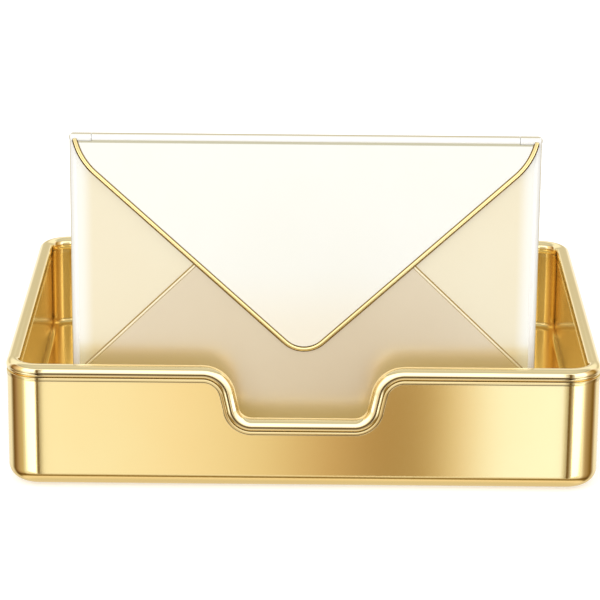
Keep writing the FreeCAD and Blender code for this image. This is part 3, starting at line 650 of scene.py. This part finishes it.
@dataclass
class TrayShell:
    """Outer pan, inner pan, collar and bead of the tray, in metres and degrees.

    The marks are the points of an outer side that has grooves. A mark of the bead is its angle,
    the depth of its cut in mm and its share of painted shade, and the plain angles go on over the
    top and down the inner side. A mark of the collar is its inset and height in mm and its share of
    painted shade. The height counts from the lower edge at the foot and from the upper one at the
    head.
    """

    half_width: float = 162.5 * MM
    half_depth: float = 125.0 * MM
    corner: float = 18.0 * MM
    wall: float = 7.0 * MM
    shell_skin: float = 1.2 * MM
    liner_skin: float = 1.0 * MM
    base: float = 1.0 * MM
    roll: float = 8.5 * MM
    floor_top: float = 16.7 * MM
    fillet: float = 3.0 * MM
    floor_band: float = 2.0 * MM
    wall_top: float = 62.0 * MM
    rim_axis: float = 67.0 * MM
    bead: float = 4.0 * MM
    collar_proud: float = 0.3 * MM
    collar_top: float = 64.3 * MM
    screw_inset: float = 40.0 * MM
    screw_hole: float = 2.9 * MM
    shank_hole: float = 1.6 * MM
    hole_segments: int = 32
    shade_fade_inset: float = 11.0 * MM
    shade_fade_rest: float = 0.15
    bead_crease: float = 60.0
    pan_crease: float = 20.0
    # Painted shade: the last number of each mark darkens the rim there, also on the bead's smooth
    # front where there is no cut.
    bead_marks: tuple[Point, ...] = (
        (-88, 0, 0), (-70, 0, 0), (-55, 0, 0.6), (-46, 0, 0.9), (-42, 0, 0.6), (-38, 0, 0),
        (-30, 0, 0), (-24, 0, 0), (-18, 0, 0), (-15, 0.02, 0.6), (-11.5, 0.22, 1),
        (-7, 0.32, 1), (-3, 0.22, 1), (0.5, 0.02, 0.6), (3.5, 0, 0))
    bead_plain: tuple[range, ...] = (range(9, 178, 7), range(184, 270, 7))
    collar_foot: tuple[Point, ...] = (
        (0, 0, 0), (0, 0.25, 0), (0.12, 0.45, 1), (0.12, 0.65, 1), (0, 0.85, 0))
    collar_head: tuple[Point, ...] = ((0, -0.3, 0), (0.05, -0.15, 0.2), (0.22, 0, 0.8))
    notch: NotchLine = field(default_factory=NotchLine)

    @property
    def turn_x(self) -> float:
        """Distance of the corners' centres from the middle, across."""
        return self.half_width - self.corner

    @property
    def turn_y(self) -> float:
        """Distance of the corners' centres from the middle, front to back."""
        return self.half_depth - self.corner

    def corner_bend(self, side: int, end: int) -> Bend:
        """Quarter turn round one corner of the tray.

        Args:
            side: -1 for the left, 1 for the right.
            end: -1 for the front, 1 for the rear.

        Returns:
            The bend, seen from above against the clock.
        """
        return Bend(Vector((side * self.turn_x, end * self.turn_y, 0)), Vector((0, 0, 1)), 90)

    def rim_route(self) -> list[Run | Bend]:
        """Route of the rim from the middle of the rear wall, against the clock.

        Returns:
            Runs and bends that end where they start.
        """
        line = self.notch
        level = Vector((0, 1, 0))
        across = math.cos(math.radians(line.angle)) * line.flank
        fall = math.sin(math.radians(line.angle)) * line.flank
        shoulder_z = self.rim_axis - line.shoulder
        foot_z = self.rim_axis - line.depth + line.foot
        rear = Run(Vector((-self.turn_x, 0, 0)))
        front = Run(Vector((self.turn_x - line.mouth, 0, 0)))
        return [rear,
                self.corner_bend(-1, 1),
                Run(Vector((0, -2 * self.turn_y, 0))),
                self.corner_bend(-1, -1),
                front,
                Bend(Vector((-line.mouth, 0, shoulder_z)), level, line.angle),
                Run(Vector((across, 0, -fall))),
                Bend(Vector((-line.floor, 0, foot_z)), level, -line.angle),
                Run(Vector((2 * line.floor, 0, 0))),
                Bend(Vector((line.floor, 0, foot_z)), level, -line.angle),
                Run(Vector((across, 0, fall))),
                Bend(Vector((line.mouth, 0, shoulder_z)), level, line.angle),
                front,
                self.corner_bend(1, -1),
                Run(Vector((0, 2 * self.turn_y, 0))),
                self.corner_bend(1, 1),
                rear]

    def draw_rim(self, section: Sequence[Vector], grooves: Sequence[float]) -> bmesh.types.BMesh:
        """Draws a section along the whole rim.

        Args:
            section: Points of the section at the middle of the rear wall.
            grooves: How much painted shade each point gets, from 0 to 1.

        Returns:
            The finished bmesh.
        """
        sweep = Sweep(section, closed=True, grooves=grooves)
        sweep.follow(self.rim_route())
        sweep.close()
        sweep.fade_painted_shade(self.turn_x, self.half_width - self.shade_fade_inset, self.shade_fade_rest)
        return sweep.mesh

    def make_bead(self, shop: Workshop) -> None:
        """Round bead along the rim.

        Args:
            shop: Where the piece is made.
        """
        axis = Vector((0, self.half_depth - self.wall / 2, self.rim_axis))
        plain = [(turn, 0, 0) for turns in self.bead_plain for turn in turns]
        marks = [*self.bead_marks, *plain]
        ring = [axis + (self.bead - cut * MM) * Vector((0, math.cos(math.radians(turn)),
                                                        math.sin(math.radians(turn))))
                for turn, cut, _ in marks]
        mesh = self.draw_rim(ring, [depth for _, _, depth in marks])
        shop.piece(mesh, "polished_rim_bead", BEAD_GOLD, "tray", "rim_bead",
                   crease=self.bead_crease)

    def make_collar(self, shop: Workshop) -> None:
        """Flat collar under the bead, with softened edges.

        Args:
            shop: Where the piece is made.
        """
        middle = self.half_depth - self.wall / 2
        half = self.wall / 2 + self.collar_proud
        low, high = self.wall_top, self.collar_top
        outline = [(half - inset * MM, start + rise * MM, depth)
                   for start, marks in ((low, self.collar_foot), (high, self.collar_head))
                   for inset, rise, depth in marks]
        outline += [(-half, high, 0), (-half, low, 0)]
        section = [Vector((0, middle + across, height)) for across, height, _ in outline]
        mesh = self.draw_rim(section, [depth for _, _, depth in outline])
        shop.piece(mesh, "rim_collar_band", COLLAR_GOLD, "tray", "rim_collar")

    def pan(self, profile: Sequence[tuple[float, float]]) -> Sweep:
        """Sweeps the profile of a pan's wall, with its top edges on the notch in front.

        Args:
            profile: Points as distance from the middle of the tray and height. The profile starts
                and ends on the floor, and its highest points are the wall's top.

        Returns:
            The swept pan, still open in the middle of its floor.
        """
        sweep = Sweep([Vector((0, out, height)) for out, height in profile], closed=False)
        sweep.stretch(Vector((-self.turn_x, 0, 0)))
        sweep.bend(self.corner_bend(-1, 1))
        sweep.stretch(Vector((0, -2 * self.turn_y, 0)))
        sweep.bend(self.corner_bend(-1, -1))
        sweep.run(Vector((HOLD, 0, 0)))
        here = HOLD - self.turn_x
        top = self.wall_top
        for x, height in self.notch.whole(self.rim_axis - self.wall_top):
            ring = sweep.run(Vector((x - here, 0, 0)))
            for point in ring:
                if point.co.z > top - NEAR:
                    point.co.z = self.rim_axis + height
            here = x
            top = self.rim_axis + height
        sweep.run(Vector((self.turn_x - HOLD - here, 0, 0)))
        sweep.run(Vector((HOLD, 0, 0)))
        sweep.bend(self.corner_bend(1, -1))
        sweep.stretch(Vector((0, 2 * self.turn_y, 0)))
        sweep.bend(self.corner_bend(1, 1))
        sweep.stretch(Vector((-self.turn_x, 0, 0)))
        sweep.close()
        return sweep

    def fill_floor(self, mesh: bmesh.types.BMesh, height: float, holes: float = 0.0) -> list:
        """Fills the open middle of a floor, with a round hole for each screw if there are any.

        Args:
            mesh: Swept pan.
            height: Height of the open edge.
            holes: Radius of the screw holes.

        Returns:
            The edges of the holes.
        """
        rim = [edge for edge in mesh.edges if edge.is_boundary
               and all(abs(point.co.z - height) < NEAR for point in edge.verts)]
        rounds: list = []
        if holes:
            for side in (-1, 1):
                for end in (-1, 1):
                    place = Matrix.Translation((side * (self.half_width - self.screw_inset),
                                                end * (self.half_depth - self.screw_inset),
                                                height))
                    made = bmesh.ops.create_circle(mesh, cap_ends=False, radius=holes,
                                                   segments=self.hole_segments,
                                                   matrix=place)["verts"]
                    rounds += list({edge for point in made for edge in point.link_edges})
        bmesh.ops.triangle_fill(mesh, use_beauty=True, use_dissolve=False, edges=rim + rounds)
        return rounds

    def arc(self, centre: tuple[float, float], radius: float, first: float, last: float,
            steps: int = 12) -> list[tuple[float, float]]:
        """Points of a round part of a profile.

        Args:
            centre: Distance from the middle of the tray and height of its centre.
            radius: Its radius.
            first: Angle in degrees where it starts.
            last: Angle in degrees where it ends.
            steps: Number of its steps.

        Returns:
            The points in order.
        """
        turns = [math.radians(first + (last - first) * i / steps) for i in range(steps + 1)]
        return [(centre[0] + radius * math.cos(t), centre[1] + radius * math.sin(t))
                for t in turns]

    def make_outer_shell(self, shop: Workshop) -> None:
        """Outer pan with its rolled lower edge.

        Args:
            shop: Where the piece is made.
        """
        out = self.half_depth
        skin = self.shell_skin
        inward = self.turn_y + self.floor_band
        centre = (out - self.roll, self.base + self.roll)
        inner = [(inward, self.base + skin), *self.arc(centre, self.roll - skin, -90, 0),
                 (out - skin, centre[1] + HOLD)]
        outer = [(out, self.wall_top), (out, centre[1] + HOLD),
                 *self.arc(centre, self.roll, 0, -90), (centre[0] - HOLD, self.base),
                 (inward, self.base)]
        sweep = self.pan([*inner, (out - skin, self.wall_top), *outer])
        below = self.fill_floor(sweep.mesh, self.base, self.screw_hole)
        above = self.fill_floor(sweep.mesh, self.base + skin, self.shank_hole)
        bmesh.ops.bridge_loops(sweep.mesh, edges=below + above)
        shop.piece(sweep.mesh, "satin_outer_shell", SATIN_GOLD, "tray",
                   "outer_shell", crease=self.pan_crease)

    def make_inner_liner(self, shop: Workshop) -> None:
        """Inner pan with polished walls and the raised floor.

        Args:
            shop: Where the piece is made.
        """
        face = self.half_depth - self.wall
        skin = self.liner_skin
        inward = self.turn_y + self.floor_band
        centre = (face - self.fillet, self.floor_top + self.fillet)
        inner = [(inward, self.floor_top), (centre[0] - HOLD, self.floor_top),
                 *self.arc(centre, self.fillet, -90, 0), (face, centre[1] + HOLD)]
        outer = [(face + skin, self.wall_top), (face + skin, centre[1] + HOLD),
                 *self.arc(centre, self.fillet + skin, 0, -90), (inward, self.floor_top - skin)]
        sweep = self.pan([*inner, (face, self.wall_top), *outer])
        self.fill_floor(sweep.mesh, self.floor_top)
        self.fill_floor(sweep.mesh, self.floor_top - skin)
        shop.piece(sweep.mesh, "polished_inner_liner", DEEP_GOLD, "tray",
                   "inner_liner", crease=self.pan_crease)

    def build(self, shop: Workshop) -> None:
        """Makes all the tray's dressed pieces.

        Args:
            shop: Where the pieces are made.
        """
        self.make_outer_shell(shop)
        self.make_inner_liner(shop)
        self.make_collar(shop)
        self.make_bead(shop)


DUSK: Tone = (0.345, 0.34, 0.315)
CEILING: Tone = (0.42, 0.405, 0.37)
GROUND: Tone = (0.40, 0.36, 0.30)
SHADOW: Tone = (0.16, 0.11, 0.04)
# Rings of the surroundings in front of the tray: height above the horizon in degrees, colour.
FRONT_RINGS: Stops = (
    (-90, GROUND), (-72, (0.44, 0.39, 0.31)), (-60, (0.54, 0.48, 0.40)),
    (-54, (0.50, 0.43, 0.32)), (-49, SHADOW), (-40, SHADOW), (-33, (0.52, 0.50, 0.46)),
    (-27, grey(0.56)), (-10, grey(0.56)), (2, grey(0.85)), (12, WHITE), (38, WHITE), (47, DUSK),
    (90, CEILING))
# The same behind the tray.
REAR_RINGS: Stops = (
    (-90, GROUND), (-35, (0.42, 0.38, 0.30)), (-17, (0.55, 0.56, 0.58)),
    (-8, (0.56, 0.55, 0.52)), (2, (0.60, 0.57, 0.50)), (6, (0.50, 0.47, 0.40)),
    (10, (0.39, 0.36, 0.29)), (18, (0.37, 0.345, 0.275)), (26, (0.56, 0.55, 0.50)),
    (42, (0.60, 0.60, 0.58)), (55, DUSK), (90, CEILING))
# Dark flags round the tray: heading in degrees to the right of the viewer, colour.
HEADINGS: Stops = (
    (-180, WHITE), (-126, WHITE), (-120, (0.78, 0.77, 0.80)), (-114, (0.47, 0.42, 0.36)),
    (-107, (0.18, 0.105, 0.04)), (-102, (0.18, 0.105, 0.04)), (-96, (0.26, 0.16, 0.08)),
    (-86, (0.42, 0.30, 0.20)), (-77, (0.52, 0.41, 0.26)), (-64, (0.62, 0.53, 0.34)),
    (-58, (0.80, 0.79, 0.73)), (-52, WHITE), (60, WHITE), (64, (0.855, 0.83, 0.81)),
    (68, (0.62, 0.52, 0.42)), (77, (0.43, 0.33, 0.22)), (86, (0.36, 0.26, 0.145)),
    (96, (0.26, 0.17, 0.06)), (101, (0.19, 0.11, 0.03)), (107, (0.23, 0.15, 0.06)),
    (113, (0.43, 0.35, 0.27)), (120, (0.69, 0.65, 0.66)), (127, WHITE), (180, WHITE))


@dataclass(frozen=True)
class Flag:
    """Upright card before the tray that only polished metal sees, in metres."""

    name: str
    depth: float
    low: float
    high: float
    tones: Stops

    @property
    def left(self) -> float:
        """X of its left edge."""
        return self.tones[0][0]

    @property
    def right(self) -> float:
        """X of its right edge."""
        return self.tones[-1][0]


PALE_CLOTH: Tone = (0.42, 0.41, 0.39)
DARK_CLOTH: Tone = (0.07, 0.045, 0.015)
# The tones of a flag are its X in metres and its colour there.
FLAGS = (
    Flag("front_flag", depth=-0.575, low=-0.25, high=-0.065, tones=(
        (-0.74, grey(0.60)), (-0.60, grey(0.9)), (-0.245, WHITE), (-0.205, grey(0.424)),
        (-0.13, (0.416, 0.416, 0.412)), (-0.085, (0.405, 0.371, 0.326)),
        (-0.03, (0.352, 0.308, 0.236)), (0.02, (0.255, 0.190, 0.120)),
        (0.054, (0.180, 0.125, 0.064)), (0.080, (0.180, 0.129, 0.067)),
        (0.092, (0.226, 0.172, 0.092)), (0.116, (0.39, 0.349, 0.30)),
        (0.136, (0.439, 0.49, 0.57)), (0.205, (0.45, 0.51, 0.62)), (0.26, WHITE),
        (0.70, WHITE), (0.92, grey(0.55)))),
    Flag("left_flag", depth=-0.165, low=-0.02, high=0.10, tones=(
        (-0.157, PALE_CLOTH), (-0.1520, DARK_CLOTH), (-0.1485, DARK_CLOTH),
        (-0.1455, PALE_CLOTH))),
    Flag("right_flag", depth=-0.165, low=-0.02, high=0.10, tones=(
        (0.1455, PALE_CLOTH), (0.1490, DARK_CLOTH), (0.1535, DARK_CLOTH), (0.164, PALE_CLOTH))),
)


@dataclass(frozen=True)
class Lamp:
    """Soft lamp aimed at the envelope, which polished metal doesn't see, in metres and watts."""

    name: str
    place: Point
    width: float
    height: float
    power: float


LAMPS = (
    Lamp("soft_key", place=(-0.9, -1.6, 1.1), width=1.6, height=1.2, power=9.0),
    Lamp("side_fill", place=(1.3, -0.5, 0.45), width=0.8, height=0.8, power=1.5),
)


@dataclass
class Studio:
    """Floor, light, reflecting surroundings and camera, in metres and degrees.

    The surroundings change from front to rear between the headings rear_from and rear_to, and
    their dark flags come in between the heights flags_from and flags_to. The wall's glow stands
    glow_gap off the front wall and glow_rise above the bead's axis. The lamps face lamp_aim.
    """

    camera_place: Vector = field(default_factory=lambda: Vector((-1.205, -1667.70, 603.37)) * MM)
    pitch: float = 17.736
    yaw: float = -0.0417
    roll: float = 0.5066
    lens: float = 180.66
    sensor: float = 36.0
    view_reach: float = 50.0
    floor_reach: float = 5.0
    floor_paint: Tone = (0.80, 0.80, 0.80)
    floor_lift: float = 0.48
    room_light: Tone = (0.90, 0.90, 0.90)
    room_peak: float = 1.8
    rear_from: float = 112.0
    rear_to: float = 128.0
    flags_from: float = 55.0
    flags_to: float = 35.0
    flag_peak: float = 2.4
    glow_tone: Tone = (0.64, 0.49, 0.14)
    glow_gap: float = 0.7 * MM
    glow_rise: float = 1.5 * MM
    lamp_aim: Point = (0.0, -0.1, 0.1)

    def make_camera(self) -> None:
        """Camera at the photograph's place, aim and lens."""
        data = bpy.data.cameras.new("photo_camera")
        data.lens = self.lens
        data.sensor_width = self.sensor
        data.sensor_height = self.sensor
        data.sensor_fit = "HORIZONTAL"
        data.clip_end = self.view_reach
        camera = bpy.data.objects.new("photo_camera", data)
        bpy.context.scene.collection.objects.link(camera)
        aim = (Matrix.Rotation(math.radians(-self.yaw), 4, "Z")
               @ Matrix.Rotation(math.radians(90.0 - self.pitch), 4, "X")
               @ Matrix.Rotation(math.radians(self.roll), 4, "Z"))
        camera.matrix_world = Matrix.Translation(self.camera_place) @ aim
        bpy.context.scene.camera = camera

    def stand(self, mesh: bmesh.types.BMesh, name: str,
              material: bpy.types.Material) -> bpy.types.Object:
        """Adds a piece of the studio.

        Args:
            mesh: Its bmesh, which is freed.
            name: Its name.
            material: Its material.

        Returns:
            The new object.
        """
        data = bpy.data.meshes.new(name)
        mesh.to_mesh(data)
        mesh.free()
        data.materials.append(material)
        thing = bpy.data.objects.new(name, data)
        bpy.context.scene.collection.objects.link(thing)
        return thing

    def hang(self, mesh: bmesh.types.BMesh, name: str, material: bpy.types.Material) -> None:
        """Adds a card that only polished metal sees.

        Args:
            mesh: Its bmesh, which is freed.
            name: Its name.
            material: Its material.
        """
        card = self.stand(mesh, name, material)
        card.visible_camera = False
        card.visible_diffuse = False
        card.visible_shadow = False
        card.visible_transmission = False

    def make_floor(self) -> None:
        """Plain white floor that keeps a faint shadow."""
        mesh = bmesh.new()
        bmesh.ops.create_grid(mesh, x_segments=1, y_segments=1, size=self.floor_reach)
        material, graph = new_material("studio_floor_white")
        seen = graph.add("ShaderNodeLightPath").outputs["Is Camera Ray"]
        paint = graph.add("ShaderNodeBsdfDiffuse", color=rgba(self.floor_paint))
        glow = graph.add("ShaderNodeEmission", color=rgba(WHITE),
                         strength=graph.math("MULTIPLY", seen, self.floor_lift))
        both = graph.add("ShaderNodeAddShader", n0=paint.outputs[0], n1=glow.outputs[0])
        graph.add("ShaderNodeOutputMaterial", surface=both.outputs[0])
        self.stand(mesh, "studio_floor", material).visible_glossy = False

    def make_flag(self, flag: Flag) -> None:
        """Upright flag before the tray.

        Args:
            flag: Its place, size and colours.
        """
        mesh = bmesh.new()
        corners = [(flag.left, flag.low), (flag.right, flag.low), (flag.right, flag.high),
                   (flag.left, flag.high)]
        bmesh.ops.contextual_create(mesh,
                                    geom=[mesh.verts.new((x, flag.depth, z)) for x, z in corners])
        material, graph = new_material(flag.name + "_cloth")
        place = graph.add("ShaderNodeTexCoord").outputs["Object"]
        across = graph.add("ShaderNodeSeparateXYZ", vector=place).outputs[0]
        width = flag.right - flag.left
        colour = graph.ramp(graph.span(across, flag.left, flag.right),
                            [((x - flag.left) / width, tone) for x, tone in flag.tones])
        glow = graph.add("ShaderNodeEmission", color=colour, strength=self.flag_peak)
        graph.add("ShaderNodeOutputMaterial", surface=glow.outputs[0])
        self.hang(mesh, flag.name, material)

    def make_wall_glow(self, shell: TrayShell) -> None:
        """Warm card behind the front wall, for the gold shine that the wall throws on the envelope.

        Args:
            shell: Tray whose rim and notch the card follows.
        """
        reach = shell.turn_x
        y = -shell.half_depth + shell.wall + self.glow_gap
        top = [(x, shell.rim_axis + height) for x, height in shell.notch.whole(-self.glow_rise)]
        level = shell.rim_axis + self.glow_rise
        outline = [(-reach, level), *top, (reach, level), (reach, shell.floor_top),
                   (-reach, shell.floor_top)]
        mesh = bmesh.new()
        points = [mesh.verts.new((x, y, z)) for x, z in outline]
        edges = [mesh.edges.new(pair) for pair in zip(points, points[1:] + points[:1])]
        bmesh.ops.triangle_fill(mesh, use_beauty=True, use_dissolve=False, edges=edges,
                                normal=(0, 1, 0))
        mesh.normal_update()
        wrong = [face for face in mesh.faces if face.normal.y < 0]
        bmesh.ops.reverse_faces(mesh, faces=wrong)
        material, graph = new_material("wall_glow_card")
        rear = graph.add("ShaderNodeNewGeometry").outputs["Backfacing"]
        glow = graph.add("ShaderNodeEmission", color=rgba(self.glow_tone), strength=1.0)
        clear = graph.add("ShaderNodeBsdfTransparent")
        both = graph.add("ShaderNodeMixShader", fac=rear, n1=glow.outputs[0],
                         n2=clear.outputs[0])
        graph.add("ShaderNodeOutputMaterial", surface=both.outputs[0])
        self.hang(mesh, "wall_glow", material)

    def make_surroundings(self) -> None:
        """White studio whose grey ceiling and dark flags only polished metal sees."""
        world = bpy.data.worlds.new("studio_world")
        bpy.context.scene.world = world
        world.use_nodes = True
        graph = Graph(world.node_tree)
        way = graph.add("ShaderNodeTexCoord").outputs["Generated"]
        x, y, z = graph.add("ShaderNodeSeparateXYZ", vector=way).outputs
        height = graph.math("ARCSINE", z)
        heading = graph.math("ARCTAN2", x, graph.math("MULTIPLY", y, -1.0))
        level = graph.span(height, -math.pi / 2, math.pi / 2)
        front, rear = (graph.ramp(level, [((up + 90.0) / 180.0, tone) for up, tone in rings])
                       for rings in (FRONT_RINGS, REAR_RINGS))
        behind = graph.span(graph.math("ABSOLUTE", heading), math.radians(self.rear_from),
                            math.radians(self.rear_to))
        flags = graph.ramp(graph.span(heading, -math.pi, math.pi),
                           [((side + 180.0) / 360.0, tone) for side, tone in HEADINGS])
        low = graph.span(graph.math("ABSOLUTE", height), math.radians(self.flags_from),
                         math.radians(self.flags_to))
        seen = graph.mix(1.0, graph.mix(behind, front, rear), graph.mix(low, WHITE, flags),
                         "MULTIPLY")
        bright = graph.add("ShaderNodeVectorMath", {"operation": "SCALE"}, n0=seen,
                           scale=self.room_peak).outputs[0]
        rays = graph.add("ShaderNodeLightPath").outputs
        light = graph.mix(rays["Is Glossy Ray"], self.room_light, bright)
        sky = graph.add("ShaderNodeBackground", strength=1.0,
                        color=graph.mix(rays["Is Camera Ray"], light, WHITE))
        graph.add("ShaderNodeOutputWorld", surface=sky.outputs[0])

    def make_lamp(self, lamp: Lamp) -> None:
        """Area lamp that faces the envelope.

        Args:
            lamp: Its place, size and power.
        """
        data = bpy.data.lights.new(lamp.name, "AREA")
        data.shape = "RECTANGLE"
        data.size = lamp.width
        data.size_y = lamp.height
        data.energy = lamp.power
        thing = bpy.data.objects.new(lamp.name, data)
        place = Vector(lamp.place)
        aim = (Vector(self.lamp_aim) - place).to_track_quat("-Z", "Y").to_matrix().to_4x4()
        thing.matrix_world = Matrix.Translation(place) @ aim
        thing.visible_glossy = False
        bpy.context.scene.collection.objects.link(thing)

    def build(self, shell: TrayShell) -> None:
        """Sets up the whole studio.

        Args:
            shell: Tray that the studio lights.
        """
        bpy.context.scene.view_settings.view_transform = "Standard"
        self.make_camera()
        self.make_floor()
        self.make_surroundings()
        self.make_wall_glow(shell)
        for flag in FLAGS:
            self.make_flag(flag)
        for lamp in LAMPS:
            self.make_lamp(lamp)


def main() -> None:
    """Loads the fixed frame, dresses it and sets up the studio."""
    logging.basicConfig(level=logging.INFO, format="%(message)s")
    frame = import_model()
    shop = Workshop()
    for look, nodes in CARRIED_OVER.items():
        for node in nodes:
            shop.dress(frame["nodes"][node], look)
    LOG.info("carried over: %d nodes", sum(len(nodes) for nodes in CARRIED_OVER.values()))
    shell = TrayShell()
    shell.build(shop)
    Studio().build(shell)


if __name__ == "__main__":
    main()
